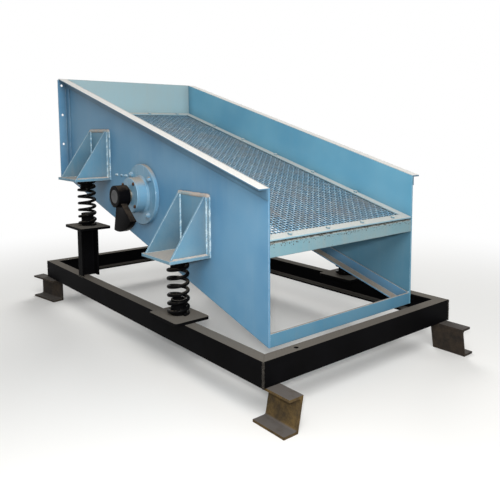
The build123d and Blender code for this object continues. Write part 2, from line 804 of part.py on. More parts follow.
# Drive pulley with vee grooves on the far end
rim_r = pulley_d / 2
rim_inner_r = rim_r - groove_depth - pulley_rim_t
web_y0 = (pulley_inner + pulley_outer - pulley_web_t) / 2
groove_floor_w = groove_top_w - 2 * groove_depth * tan(radians(groove_angle / 2))
with BuildPart() as pulley_blank:
    add(
        turned(
            [
                (0, pulley_inner),
                (pulley_hub_d / 2, pulley_inner),
                (pulley_hub_d / 2, web_y0),
                (rim_inner_r, web_y0),
                (rim_inner_r, pulley_inner),
                (rim_r, pulley_inner),
                (rim_r, pulley_outer),
                (rim_inner_r, pulley_outer),
                (rim_inner_r, web_y0 + pulley_web_t),
                (pulley_hub_d / 2, web_y0 + pulley_web_t),
                (pulley_hub_d / 2, pulley_outer),
                (0, pulley_outer),
            ]
        )
    )
    for groove in range(groove_count):
        groove_y = (pulley_inner + pulley_outer) / 2 + (groove - (groove_count - 1) / 2) * groove_pitch
        add(
            turned(
                [
                    (rim_r - groove_depth, groove_y - groove_floor_w / 2),
                    (rim_r, groove_y - groove_top_w / 2),
                    (rim_r + 1.0, groove_y - groove_top_w / 2),
                    (rim_r + 1.0, groove_y + groove_top_w / 2),
                    (rim_r, groove_y + groove_top_w / 2),
                    (rim_r - groove_depth, groove_y + groove_floor_w / 2),
                ]
            ),
            mode=Mode.SUBTRACT,
        )
with BuildPart() as pulley:
    add(keyed_bore(pulley_blank.part))
pulley.part.label = "drive_pulley"
export_step(pulley.part, "parts/drive_pulley.step")
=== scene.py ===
"""Looks of an inclined vibrating sieve: enamel, dust, rust, woven wire, coil springs and welds.

Lengths are in metres in the part's own frame: +X is the discharge end, -Y the side of the visible
weight, Z = 0 the floor.
"""

import logging
import math
from contextlib import contextmanager
from dataclasses import dataclass, field
from enum import Enum
from functools import lru_cache, partial
from typing import Any, Callable, Iterator

import bpy
from mathutils import Matrix, Vector


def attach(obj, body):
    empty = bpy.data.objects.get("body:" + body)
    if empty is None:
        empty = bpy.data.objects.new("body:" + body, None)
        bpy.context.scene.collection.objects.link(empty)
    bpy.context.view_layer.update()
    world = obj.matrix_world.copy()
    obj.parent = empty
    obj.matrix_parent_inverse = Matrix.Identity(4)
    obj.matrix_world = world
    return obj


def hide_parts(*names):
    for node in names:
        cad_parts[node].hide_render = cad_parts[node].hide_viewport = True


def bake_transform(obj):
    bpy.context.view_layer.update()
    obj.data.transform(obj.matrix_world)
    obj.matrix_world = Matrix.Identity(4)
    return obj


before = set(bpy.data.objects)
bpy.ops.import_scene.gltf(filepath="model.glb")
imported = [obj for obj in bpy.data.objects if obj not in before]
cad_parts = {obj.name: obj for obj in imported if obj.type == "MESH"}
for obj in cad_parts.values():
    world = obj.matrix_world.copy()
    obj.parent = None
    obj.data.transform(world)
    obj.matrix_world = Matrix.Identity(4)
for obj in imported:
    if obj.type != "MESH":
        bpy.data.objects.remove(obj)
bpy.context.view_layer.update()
log = logging.getLogger("sieve")

Span = tuple[float, float]
Point = tuple[float, float, float]
Piece = bpy.types.Object
Socket = bpy.types.NodeSocket
AddNode = Callable[..., Socket]

SIDES = ("near", "far")
ENDS = ("front", "rear")

# Places that several sub-assemblies share
FRONT_X = 0.6857087
FRONT_LOW = 0.16
SLOPE_DEG = 15.75
INNER_Y = 0.334
SPRING_X = {"front": 0.3107087, "rear": -0.3962913}
SPRING_Y = 0.408
SEAT_TOP = {"front": 0.185, "rear": 0.394}

# Mesh points closer than this are one point
TOUCHING = 1e-5


class Body(Enum):
    """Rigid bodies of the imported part."""

    BASE = "base"
    SCREEN = "screen_body"
    ROTOR = "rotor"


class Slot(Enum):
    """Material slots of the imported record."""

    BODY = "body_paint"
    FRAME = "frame_paint"
    SPRING = "spring_steel"
    WIRE = "deck_wire"
    STEEL = "bare_steel"
    WEIGHT = "weight_paint"


def linear(code: str) -> tuple[float, float, float, float]:
    """Turn an sRGB hex colour into linear RGBA.

    Args:
        code: Colour such as "#75aed6".

    Returns:
        Red, green, blue and alpha, linear.
    """
    parts = [int(code[i : i + 2], 16) / 255 for i in (1, 3, 5)]
    red, green, blue = (p / 12.92 if p <= 0.04045 else ((p + 0.055) / 1.055) ** 2.4 for p in parts)
    return red, green, blue, 1.0


def per_metre(size_mm: float) -> float:
    """Noise scale whose features are about this many millimetres across."""
    return 1000.0 / size_mm


def add_node(
    tree: bpy.types.NodeTree,
    kind: str,
    inputs: dict[Any, Any] | None = None,
    out: str | int = 0,
    **settings: Any,
) -> Socket | None:
    """Add one node with its settings and its inputs.

    Sockets that share a name go by number. In Mix, 0 is the factor, 6 and 7 are the colours and 2 is
    the mixed colour. In MapRange, 0 is the value, 1 and 2 its old range, 3 and 4 its new range.

    Args:
        tree: Node tree to add to.
        kind: Node type, without the common ShaderNode prefix.
        inputs: Socket name or number to a value or to an output socket to link.
        out: Name or number of the output to hand back.
        **settings: Node properties.

    Returns:
        That output, or None from a node that has no outputs.
    """
    made = tree.nodes.new("ShaderNode" + kind)
    for name, value in settings.items():
        setattr(made, name, value)
    for key, value in (inputs or {}).items():
        if isinstance(value, Socket):
            tree.links.new(value, made.inputs[key])
        else:
            made.inputs[key].default_value = value
    return made.outputs[out] if made.outputs else None


def new_material(name: str) -> tuple[bpy.types.Material, AddNode]:
    """Make an empty node material.

    Args:
        name: Material name.

    Returns:
        The material, and the function that adds nodes to it.
    """
    material = bpy.data.materials.new(name)
    material.use_nodes = True
    material.node_tree.nodes.clear()
    return material, partial(add_node, material.node_tree)


@dataclass(frozen=True)
class Enamel:
    """Brushed or sprayed alkyd enamel on rolled steel, with settled dust and worn, highlight-painted edges.

    The eye gets a soft gloss, slow shade changes over a hand's width, a peel of a few millimetres,
    pale dust on whatever faces up, painted shade in corners and under parts, painted light and shade
    on one side of a plate below a sloping line, chips that crowd under a clamped seam, and lighter
    edges, partly worn bare and partly a painted highlight. A size in mm is about that of one patch or
    grain; a share runs from 0 to 1; the sloping line is given as a point's X and Z and its fall per metre.
    """

    name: str
    shade: str
    tint: str
    dust: str
    edge: str
    cloud_mm: float = 320.0
    dust_cover: float = 0.8
    dust_mm: float = 45.0
    grit_mm: float = 5.0
    film: float = 0.12
    film_mm: float = 160.0
    streak_mm: tuple[float, float, float] = (26.0, 26.0, 480.0)
    # Width and share of the paler edge band: edge wear and painted highlight.
    edge_mm: float = 2.5
    edge_wear_and_highlight_share: float = 0.5
    rub_mm: float = 13.0
    chip: str = "#6b4a33"
    chip_share: float = 0.0
    chip_mm: float = 14.0
    seam_z: float = 0.0
    seam_mm: float = 0.0
    seam_crowd: float = 0.2
    # Colour painted below the sloping line on one side of a plate; the dark default is painted shade.
    stain_and_painted_light: str = "#31566b"
    painted_light_share: float = 0.0
    painted_light_line: tuple[float, float, float] = (0.6857, 0.472, 0.282)
    painted_light_fade: float = 0.05
    painted_light_faces: Point = (0.0, -1.0, 0.0)
    # Colour, share and reach of the darkening in corners and under parts: painted shade.
    painted_shade: str = "#2a3d49"
    painted_shade_share: float = 0.0
    painted_shade_mm: float = 55.0
    roughness: float = 0.42
    dust_roughness: float = 0.9
    specular: float = 0.35
    peel_mm: float = 4.0
    peel_depth: float = 0.00012
    dent_mm: float = 140.0
    dent_share: float = 8.0

    def dust_share(self, add: AddNode, here: Socket) -> Socket:
        """Drift dust over what faces up and draw a thin, streaked film over the rest.

        Args:
            add: Adds nodes to the material.
            here: Object coordinates.

        Returns:
            Share of dust from 0 to 1.
        """
        runs = add("Mapping", {0: here, 3: tuple(per_metre(size) for size in self.streak_mm)})
        streak = add("TexNoise", {"Vector": runs, "Scale": 1.0, "Detail": 4.0, "Roughness": 0.6})
        streak = add("MapRange", {0: streak, 1: 0.52, 2: 0.8, 4: self.film})
        patch, drift = (
            add("TexNoise", {"Vector": here, "Scale": per_metre(size), "Detail": 5.0, "Roughness": rough})
            for size, rough in ((self.film_mm, 0.62), (self.dust_mm, 0.65))
        )
        film = add("MapRange", {0: patch, 1: 0.35, 2: 0.75, 3: 0.3 * self.film, 4: 1.6 * self.film})
        thin = add("Math", {0: film, 1: streak}, operation="ADD")

        facing = add("SeparateXYZ", {0: here.node.outputs["Normal"]}, "Z")
        level = add("MapRange", {0: facing, 1: 0.42, 2: 0.93}, interpolation_type="SMOOTHSTEP")
        bare = 0.5 * self.dust_cover
        drift = add("MapRange", {0: drift, 1: 0.62 - bare, 2: 0.85 - bare}, interpolation_type="SMOOTHSTEP")
        settled = add("Math", {0: level, 1: drift}, operation="MULTIPLY")
        settled = add("Math", {0: settled, 1: min(1.0, 1.1 * self.dust_cover)}, operation="MULTIPLY")
        return add("Math", {0: settled, 1: thin}, operation="MAXIMUM", use_clamp=True)

    def chip_spots(self, add: AddNode, here: Socket) -> Socket:
        """Scatter chips down to the steel, crowded under the seam if there is one.

        Args:
            add: Adds nodes to the material.
            here: Object coordinates.

        Returns:
            1 in a chip, 0 elsewhere.
        """
        chip_scale = per_metre(self.chip_mm)
        scab = add("TexNoise", {"Vector": here, "Scale": chip_scale, "Detail": 4.0, "Roughness": 0.6})
        if self.seam_mm > 0:
            height = add("SeparateXYZ", {0: here}, "Z")
            lowest = self.seam_z - self.seam_mm / 1000
            crowd = add("MapRange", {0: height, 1: lowest, 2: self.seam_z, 4: self.seam_crowd})
            scab = add("Math", {0: scab, 1: crowd}, operation="ADD")
        return add("MapRange", {0: scab, 1: 0.78 - self.chip_share, 2: 0.8 - self.chip_share})

    def paint_light_below_line(self, add: AddNode, here: Socket) -> Socket:
        """Paint light and shade onto one side of a plate below a line that falls towards the discharge end.

        Args:
            add: Adds nodes to the material.
            here: Object coordinates.

        Returns:
            Share of painted light and shade, from 0 to its full share.
        """
        line_x, line_z, rise = self.painted_light_line
        x = add("SeparateXYZ", {0: here}, "X")
        line = add("Math", {0: x, 1: -rise, 2: line_z + rise * line_x}, operation="MULTIPLY_ADD")
        above = add("Math", {0: x.node.outputs["Z"], 1: line}, operation="SUBTRACT")
        below = add("MapRange", {0: above, 2: -self.painted_light_fade, 4: self.painted_light_share})
        normal = here.node.outputs["Normal"]
        side = add("VectorMath", {0: normal, 1: self.painted_light_faces}, "Value", operation="DOT_PRODUCT")
        inside = add("MapRange", {0: side, 2: 0.5})
        return add("Math", {0: below, 1: inside}, operation="MULTIPLY")

    @lru_cache(maxsize=None)
    def material(self) -> bpy.types.Material:
        """Build the node material once and return it."""
        material, add = new_material(self.name)
        here = add("TexCoord", out="Object")
        sizes = ((self.cloud_mm, 3.0), (self.rub_mm, 3.0), (self.peel_mm, 2.0), (self.dent_mm, 1.0))
        cloud, wear, peel, dent = (
            add("TexNoise", {"Vector": here, "Scale": per_metre(size), "Detail": detail})
            for size, detail in sizes
        )
        spread = add("MapRange", {0: cloud, 1: 0.34, 2: 0.66}, interpolation_type="SMOOTHSTEP")
        paint = add("Mix", {0: spread, 6: linear(self.shade), 7: linear(self.tint)}, 2, data_type="RGBA")
        dusty = self.dust_share(add, here)
        if self.chip_share > 0:
            bare = self.chip_spots(add, here)
            paint = add("Mix", {0: bare, 6: paint, 7: linear(self.chip)}, 2, data_type="RGBA")
            clean = add("Math", {0: bare, 1: -0.85, 2: 1.0}, operation="MULTIPLY_ADD")
            dusty = add("Math", {0: dusty, 1: clean}, operation="MULTIPLY")
        # Painted shade under the deck on the far plate, painted light on the feed plate's inside.
        if self.painted_light_share > 0:
            painted_light_mask = self.paint_light_below_line(add, here)
            paint = add("Mix", {0: painted_light_mask, 6: paint, 7: linear(self.stain_and_painted_light)}, 2, data_type="RGBA")
        # Ambient occlusion darkens corners, recesses and faces under other parts: painted shade.
        if self.painted_shade_share > 0:
            reach = add("AmbientOcclusion", {"Distance": self.painted_shade_mm / 1000}, "AO", samples=8)
            corner = add("MapRange", {0: reach, 1: 0.95, 2: 0.35, 4: self.painted_shade_share})
            paint = add("Mix", {0: corner, 6: paint, 7: linear(self.painted_shade)}, 2, data_type="RGBA")

        grit_scale = per_metre(self.grit_mm)
        grit = add("TexNoise", {"Vector": here, "Scale": grit_scale, "Detail": 3.0, "Roughness": 0.7})
        tone = add("MapRange", {0: grit, 1: 0.25, 2: 0.75, 3: 0.82, 4: 1.12})
        dust = add("VectorMath", {0: linear(self.dust)[:3], 3: tone}, operation="SCALE")
        coat = add("Mix", {0: dusty, 6: paint, 7: dust}, 2, data_type="RGBA")
        # Edges turn towards the paler edge colour: partly wear, partly a painted highlight.
        rounded = add("Bevel", {"Radius": self.edge_mm / 1000}, samples=6)
        flat = add("NewGeometry", out="Normal")
        turn = add("VectorMath", {0: rounded, 1: flat}, "Value", operation="DOT_PRODUCT")
        edge_wear_and_highlight = add("MapRange", {0: turn, 1: 0.985, 2: 0.82, 4: self.edge_wear_and_highlight_share})
        patches = add("MapRange", {0: wear, 1: 0.36, 2: 0.6, 3: 0.25})
        edge_wear_and_highlight = add("Math", {0: edge_wear_and_highlight, 1: patches}, operation="MULTIPLY", use_clamp=True)
        coat = add("Mix", {0: edge_wear_and_highlight, 6: coat, 7: linear(self.edge)}, 2, data_type="RGBA")

        rough = add("MapRange", {0: dusty, 2: 0.7, 3: self.roughness, 4: self.dust_roughness})
        wave = add("Math", {0: dent, 1: self.dent_share, 2: peel}, operation="MULTIPLY_ADD")
        relief = add("Bump", {"Height": wave, "Distance": self.peel_depth, "Normal": rounded})
        gloss = {"Roughness": rough, "Specular IOR Level": self.specular}
        add("OutputMaterial", {0: add("BsdfPrincipled", {"Base Color": coat, "Normal": relief, **gloss})})
        return material


@dataclass(frozen=True)
class MillRust:
    """Hot-rolled channel left bare outdoors: scale and rust in patches, grey dust on its flat tops.

    The eye gets a dull brown with darker scale islands and no gloss at all.
    """

    name: str
    scale_colour: str = "#3b3122"
    rust: str = "#63502f"
    dust: str = "#575350"
    patch_mm: float = 38.0
    pit_mm: float = 5.0
    pit_depth: float = 0.0006
    dust_cover: float = 0.75

    @lru_cache(maxsize=None)
    def material(self) -> bpy.types.Material:
        """Build the node material once and return it."""
        material, add = new_material(self.name)
        here = add("TexCoord", out="Object")
        patch, pit = (
            add("TexNoise", {"Vector": here, "Scale": per_metre(size), "Detail": detail, "Roughness": rough})
            for size, detail, rough in ((self.patch_mm, 6.0, 0.68), (self.pit_mm, 4.0, 0.7))
        )
        share = add("MapRange", {0: patch, 1: 0.36, 2: 0.62})
        colours = {6: linear(self.scale_colour), 7: linear(self.rust)}
        steel = add("Mix", {0: share, **colours}, 2, data_type="RGBA")
        fleck = add("MapRange", {0: pit, 1: 0.3, 2: 0.7, 3: 0.72, 4: 1.25})
        steel = add("VectorMath", {0: steel, 3: fleck}, operation="SCALE")
        facing = add("SeparateXYZ", {0: here.node.outputs["Normal"]}, "Z")
        level = add("MapRange", {0: facing, 1: 0.4, 2: 0.95}, interpolation_type="SMOOTHSTEP")
        drift = add("MapRange", {0: patch, 1: 0.22, 2: 0.5, 3: 0.3, 4: self.dust_cover + 0.2})
        settled = add("Math", {0: level, 1: drift}, operation="MULTIPLY", use_clamp=True)
        coat = add("Mix", {0: settled, 6: steel, 7: linear(self.dust)}, 2, data_type="RGBA")
        relief = add("Bump", {"Height": pit, "Distance": self.pit_depth, "Strength": 0.8})
        gloss = {"Roughness": 0.88, "Specular IOR Level": 0.3}
        add("OutputMaterial", {0: add("BsdfPrincipled", {"Base Color": coat, "Normal": relief, **gloss})})
        return material


@dataclass(frozen=True)
class TurnedSteel:
    """Turned shaft steel with an oily tan film and fine rings, its near end dabbed with black paint.

    The eye gets a brown-grey metal with a long highlight along the shaft.
    """

    name: str
    steel: str = "#a39a8b"
    film: str = "#7d6c55"
    film_mm: float = 22.0
    paint: str = "#0c0c0d"
    painted_below_y: float = -0.43
    ring_mm: float = 0.9
    ring_depth: float = 0.00004

    @lru_cache(maxsize=None)
    def material(self) -> bpy.types.Material:
        """Build the node material once and return it."""
        material, add = new_material(self.name)
        here = add("TexCoord", out="Object")
        along = add("SeparateXYZ", {0: here}, "Y")
        film_scale = per_metre(self.film_mm)
        stain_and_painted_light = add("TexNoise", {"Vector": here, "Scale": film_scale, "Detail": 5.0, "Roughness": 0.6})
        share = add("MapRange", {0: stain_and_painted_light, 1: 0.35, 2: 0.68})
        metal = add("Mix", {0: share, 6: linear(self.steel), 7: linear(self.film)}, 2, data_type="RGBA")
        dabbed = add("Math", {0: along, 1: self.painted_below_y}, operation="LESS_THAN")
        coat = add("Mix", {0: dabbed, 6: metal, 7: linear(self.paint)}, 2, data_type="RGBA")
        metallic = add("MapRange", {0: dabbed, 3: 0.9, 4: 0.0})
        rough = add("MapRange", {0: stain_and_painted_light, 1: 0.3, 2: 0.7, 3: 0.3, 4: 0.55})
        turns = add("Math", {0: along, 1: 2 * math.pi * per_metre(self.ring_mm)}, operation="MULTIPLY")
        ring = add("Math", {0: turns}, operation="SINE")
        relief = add("Bump", {"Height": ring, "Distance": self.ring_depth, "Strength": 0.5})
        gloss = {"Metallic": metallic, "Roughness": rough}
        add("OutputMaterial", {0: add("BsdfPrincipled", {"Base Color": coat, "Normal": relief, **gloss})})
        return material


@dataclass(frozen=True)
class PaintedWire:
    """Woven steel wire, sprayed with the body's paint and worn to metal on its crowns.

    The eye gets grey-blue threads, paler and shinier on top, near black underneath as painted shade,
    with brown dust in drifts.
    """

    name: str
    paint: str = "#78aac6"
    crown: str = "#d3e6ec"
    dust: str = "#847a6f"
    # Near-black colour of the wires' undersides: painted shade.
    low: str = "#060b0f"
    drift_mm: float = 150.0
    speck_mm: float = 9.0
    speck_depth: float = 0.0002

    @lru_cache(maxsize=None)
    def material(self) -> bpy.types.Material:
        """Build the node material once and return it."""
        material, add = new_material(self.name)
        here = add("TexCoord", out="Object")
        facing = add("SeparateXYZ", {0: here.node.outputs["Normal"]}, "Z")
        drift, speck = (
            add("TexNoise", {"Vector": here, "Scale": per_metre(size), "Detail": detail, "Roughness": rough})
            for size, detail, rough in ((self.drift_mm, 5.0, 0.65), (self.speck_mm, 3.0, 0.6))
        )
        top = add("MapRange", {0: facing, 1: 0.25, 2: 0.8}, interpolation_type="SMOOTHSTEP")
        worn = add("MapRange", {0: speck, 1: 0.46, 2: 0.66, 4: 0.85})
        worn = add("Math", {0: worn, 1: top}, operation="MULTIPLY")
        dusty = add("MapRange", {0: drift, 1: 0.46, 2: 0.7, 4: 0.5})
        # Wires start near black and take the paint where they face up: painted shade underneath.
        coat = linear(self.low)
        for share, colour in ((top, self.paint), (worn, self.crown), (dusty, self.dust)):
            coat = add("Mix", {0: share, 6: coat, 7: linear(colour)}, 2, data_type="RGBA")
        rough = add("MapRange", {0: worn, 3: 0.55, 4: 0.34})
        relief = add("Bump", {"Height": speck, "Distance": self.speck_depth, "Strength": 0.6})
        shader = add("BsdfPrincipled", {"Base Color": coat, "Normal": relief, "Roughness": rough})
        add("OutputMaterial", {0: shader})
        return material


Finish = Enamel | MillRust | TurnedSteel | PaintedWire

BLUE = dict(shade="#578fb5", tint="#689fc2", edge="#d3e0e3", painted_shade_share=0.6)
SIDE_PLATE = Enamel(
    "sky blue alkyd enamel, brushed on plate", dust="#c9c7c0", dust_cover=0.9, film=0.06, **BLUE,
)
# Paler and more cyan than the near plate; inside, below the deck line, the dark default is painted shade.
FAR_PLATE = Enamel(
    "sky blue alkyd enamel, rain-washed plate", shade="#64a4c1", tint="#72b2cc", edge="#d3e0e3",
    dust="#b7b2a8", dust_cover=0.9, film=0.05, painted_shade_share=0.5, painted_light_share=0.55,
)
# Its long reach darkens the pocket between the gussets: painted shade.
BRACKET = Enamel(
    "sky blue alkyd enamel, welded bracket", shade="#5b91ae", tint="#6ca1b9", edge="#d3e0e3",
    dust="#ada59b", dust_cover=0.85, film=0.14, edge_wear_and_highlight_share=0.95, painted_shade_share=0.7, painted_shade_mm=140.0,
)
# Blue darker than the body's, so the flange's edge and leg read as a dark line: painted shade.
FLANGE = Enamel(
    "sky blue alkyd enamel under pale dust", dust="#e2e0db", dust_cover=0.93, dust_mm=24.0,
    film=0.03, edge_wear_and_highlight_share=0.12, shade="#446f8a", tint="#5787a3", edge="#c3d0d3",
)
CROSS = Enamel(
    "sky blue alkyd enamel, scuffed cross angle", shade="#4c84a3", tint="#5d94b0", edge="#c3d0d3",
    dust="#9a938a", dust_cover=0.9, film=0.1, painted_shade_share=0.5, chip_share=0.05,
)
LEDGE = Enamel("sky blue alkyd enamel under tan dust", dust="#8f867a", dust_cover=0.95, film=0.12, **BLUE)
PALE = Enamel(
    "sky blue alkyd enamel, dust-hazed cross plate", shade="#76a3b1", tint="#8ab2bb",
    dust="#a9aaa2", edge="#b9c8c8", dust_cover=0.85, film=0.3, chip="#3d342c", chip_share=0.11,
    chip_mm=7.0, seam_z=0.472, seam_mm=26.0,
)
# Its whole inside, which faces the lit discharge end, is painted paler: painted light.
FEED_PLATE = Enamel(
    "sky blue alkyd enamel, inside paler as painted light", shade="#5f94b4", tint="#6fa3bf",
    dust="#b5b6ae", edge="#c3cfce", dust_cover=0.85, film=0.16, painted_shade_share=0.4, stain_and_painted_light="#a6c4ca",
    painted_light_share=0.95, painted_light_line=(0.0, 2.0, 0.0), painted_light_faces=(1.0, 0.0, 0.0),
)
CASTING = Enamel(
    "sky blue enamel on grey cast iron", shade="#5f93b3", tint="#73a5c1", dust="#a2988b",
    edge="#c2bdb2", dust_cover=0.85, film=0.1, edge_wear_and_highlight_share=0.6, peel_mm=2.2, peel_depth=0.00002,
    roughness=0.14,
)
# Its short, strong darkening beside the mesh paints the shadow of the strip's edge: painted shade.
STRIP = Enamel(
    "clamp strip, blue enamel under trodden dust", shade="#86b4c6", tint="#9cc4d0", dust="#c3c5c0",
    edge="#dcdcd6", dust_cover=0.92, dust_mm=60.0, film=0.2, chip="#80614a", chip_share=0.03,
    painted_shade="#141d24", painted_shade_share=0.9, painted_shade_mm=16.0,
)
BLACK = dict(shade="#070708", tint="#0c0c0e", edge="#242220", cloud_mm=180.0)
FRAME = Enamel(
    "black bitumen enamel on rolled channel", dust="#6b665f", dust_cover=0.95, film=0.004,
    edge_wear_and_highlight_share=0.35, roughness=0.5, specular=0.015, **BLACK,
)
COIL = Enamel(
    "black stove enamel on spring wire", dust="#6a6257", dust_cover=0.4, film=0.004, edge_wear_and_highlight_share=0.0,
    roughness=0.16, peel_depth=0.00002, specular=0.03, **BLACK,
)
WEIGHT = Enamel(
    "black enamel on cut steel weight", dust="#4a4239", dust_cover=0.6, film=0.004, edge_wear_and_highlight_share=0.5,
    roughness=0.16, peel_depth=0.00001, specular=0.015, **BLACK,
)
# Small pale patches of tint paint highlight specks on the ripples: painted highlight.
BEAD = Enamel(
    "sky blue enamel over weld bead", shade="#6d9db8", tint="#bfd6de", dust="#c9cfcc",
    edge="#ffffff", cloud_mm=16.0, dust_cover=0.6, film=0.04, edge_wear_and_highlight_share=0.0, roughness=0.2,
    peel_mm=2.0, peel_depth=0.0002,
)
DUSTY_BEAD = Enamel(
    "weld bead under tan dust", shade="#8fa9b0", tint="#b7aea4", dust="#b9a99c", edge="#ffffff",
    cloud_mm=30.0, dust_cover=0.95, film=0.3, edge_wear_and_highlight_share=0.0, roughness=0.6,
)
BLACK_BEAD = Enamel(
    "black enamel over weld bead", dust="#827b70", dust_cover=0.7, film=0.12, edge_wear_and_highlight_share=0.0,
    roughness=0.3, peel_mm=2.0, specular=0.1, **BLACK,
)
FOOT = MillRust("rusty hot-rolled channel")
# Darker copy of the rusty channel for the feet that stand in shade: painted shade.
SHADED_FOOT = MillRust(
    "hot-rolled channel darkened as painted shade", scale_colour="#221e1b", rust="#3d342a", dust="#484440",
)
BOLT = MillRust(
    "rust-stained bolt head", scale_colour="#241b16", rust="#5c3c2a", dust="#6f655a", patch_mm=9.0,
    pit_mm=2.0,
)
SHAFT = TurnedSteel("turned shaft steel under oily film")
WIRE = PaintedWire("painted woven screen wire")


def dress(finish: Finish, *names: str) -> None:
    """Give CAD nodes a finish.

    Args:
        finish: One of the finishes above.
        *names: CAD nodes.
    """
    for name in names:
        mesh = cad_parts[name].data
        mesh.materials.clear()
        mesh.materials.append(finish.material())
    log.info("%s: %s", finish.name, ", ".join(names))


def pick_only(piece: Piece) -> None:
    """Select one object alone and make it the active one."""
    bpy.ops.object.select_all(action="DESELECT")
    piece.select_set(True)
    bpy.context.view_layer.objects.active = piece


@contextmanager
def editing(piece: Piece) -> Iterator[None]:
    """Edit one object's mesh with everything in it selected."""
    pick_only(piece)
    bpy.ops.object.mode_set(mode="EDIT")
    bpy.ops.mesh.select_all(action="SELECT")
    yield
    bpy.ops.object.mode_set(mode="OBJECT")


def begin(shape: Callable[..., Any], **settings: Any) -> Piece:
    """Add one primitive and fix its place into its mesh.

    Args:
        shape: Operator that adds it.
        **settings: Settings of that operator.

    Returns:
        The new object.
    """
    bpy.ops.object.select_all(action="DESELECT")
    shape(**settings)
    bpy.ops.object.transform_apply(location=True, rotation=True, scale=True)
    return bpy.context.object


def apply(piece: Piece, kind: str, **settings: Any) -> None:
    """Add one modifier to a piece and apply it.

    Args:
        piece: Mesh object.
        kind: Modifier type.
        **settings: Modifier properties.
    """
    modifier = piece.modifiers.new(kind.title(), kind)
    for name, value in settings.items():
        setattr(modifier, name, value)
    pick_only(piece)
    bpy.ops.object.modifier_apply(modifier=modifier.name)


def repeat(piece: Piece, step: Point, count: int, weld: bool = False) -> None:
    """Repeat a piece's mesh in a row.

    Args:
        piece: Mesh object.
        step: Offset from one copy to the next.
        count: Copies in all.
        weld: Whether touching ends are merged.
    """
    apply(
        piece, "ARRAY", use_relative_offset=False, use_constant_offset=True, constant_offset_displace=step,
        count=count, use_merge_vertices=weld, merge_threshold=TOUCHING,
    )


def cut(piece: Piece, *planes: tuple[Vector | Point, Vector | Point]) -> None:
    """Cut a piece along planes, close the cuts and turn its faces outwards.

    Args:
        piece: Mesh object.
        *planes: Point and normal of each plane; what lies on the normal's side goes.
    """
    with editing(piece):
        for point, normal in planes:
            bpy.ops.mesh.select_all(action="SELECT")
            bpy.ops.mesh.bisect(plane_co=point, plane_no=normal, use_fill=True, clear_outer=True)
        bpy.ops.mesh.select_all(action="SELECT")
        bpy.ops.mesh.normals_make_consistent(inside=False)


def join(pieces: list[Piece]) -> Piece:
    """Join pieces into the first of them and return it."""
    pick_only(pieces[0])
    for piece in pieces[1:]:
        piece.select_set(True)
    bpy.ops.object.join()
    return pieces[0]


def settle(piece: Piece, name: str, finish: Finish, smooth_deg: float = 40.0) -> None:
    """Fix a new piece's place into its mesh, then name, shade and paint it.

    Args:
        piece: Mesh object.
        name: Piece name.
        finish: Its finish.
        smooth_deg: Edges sharper than this stay crisp.
    """
    pick_only(piece)
    bpy.ops.object.transform_apply(location=True, rotation=True, scale=True)
    bpy.ops.object.shade_smooth_by_angle(angle=math.radians(smooth_deg))
    piece.name = name
    piece.data.name = name
    piece.data.materials.clear()
    piece.data.materials.append(finish.material())
    log.info("%s: %d faces, %s", name, len(piece.data.polygons), finish.name)


@dataclass
class WeldRuns:
    """Hand-laid fillet welds, each a row of overlapping ripples along a seam."""

    name: str
    body: Body
    finish: Enamel
    slot: Slot
    leg: float = 0.009
    step: float = 0.0052
    unevenness: float = 0.0009
    seams: list[tuple[Point, Point]] = field(default_factory=list)

    def seam(self, start: Point, end: Point) -> None:
        """Note one straight seam from start to end."""
        self.seams.append((start, end))

    def ripple_row(self, start: Vector, end: Vector) -> Piece:
        """Lay one seam's ripples.

        Args:
            start: First end of the seam.
            end: Other end.

        Returns:
            The row as one mesh.
        """
        run = end - start
        count = max(2, round(run.length / self.step))
        ball = bpy.ops.mesh.primitive_ico_sphere_add
        row = begin(ball, subdivisions=2, radius=self.leg / 2, location=start)
        repeat(row, tuple(run / (count - 1)), count)
        return row

    def build(self) -> None:
        """Lay all seams as one uneven piece."""
        piece = join([self.ripple_row(Vector(a), Vector(b)) for a, b in self.seams])
        with editing(piece):
            bpy.ops.transform.vertex_random(offset=self.unevenness, uniform=0.6, normal=0.4, seed=11)
        settle(piece, self.name, self.finish, smooth_deg=60.0)
        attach(piece, self.body.value)


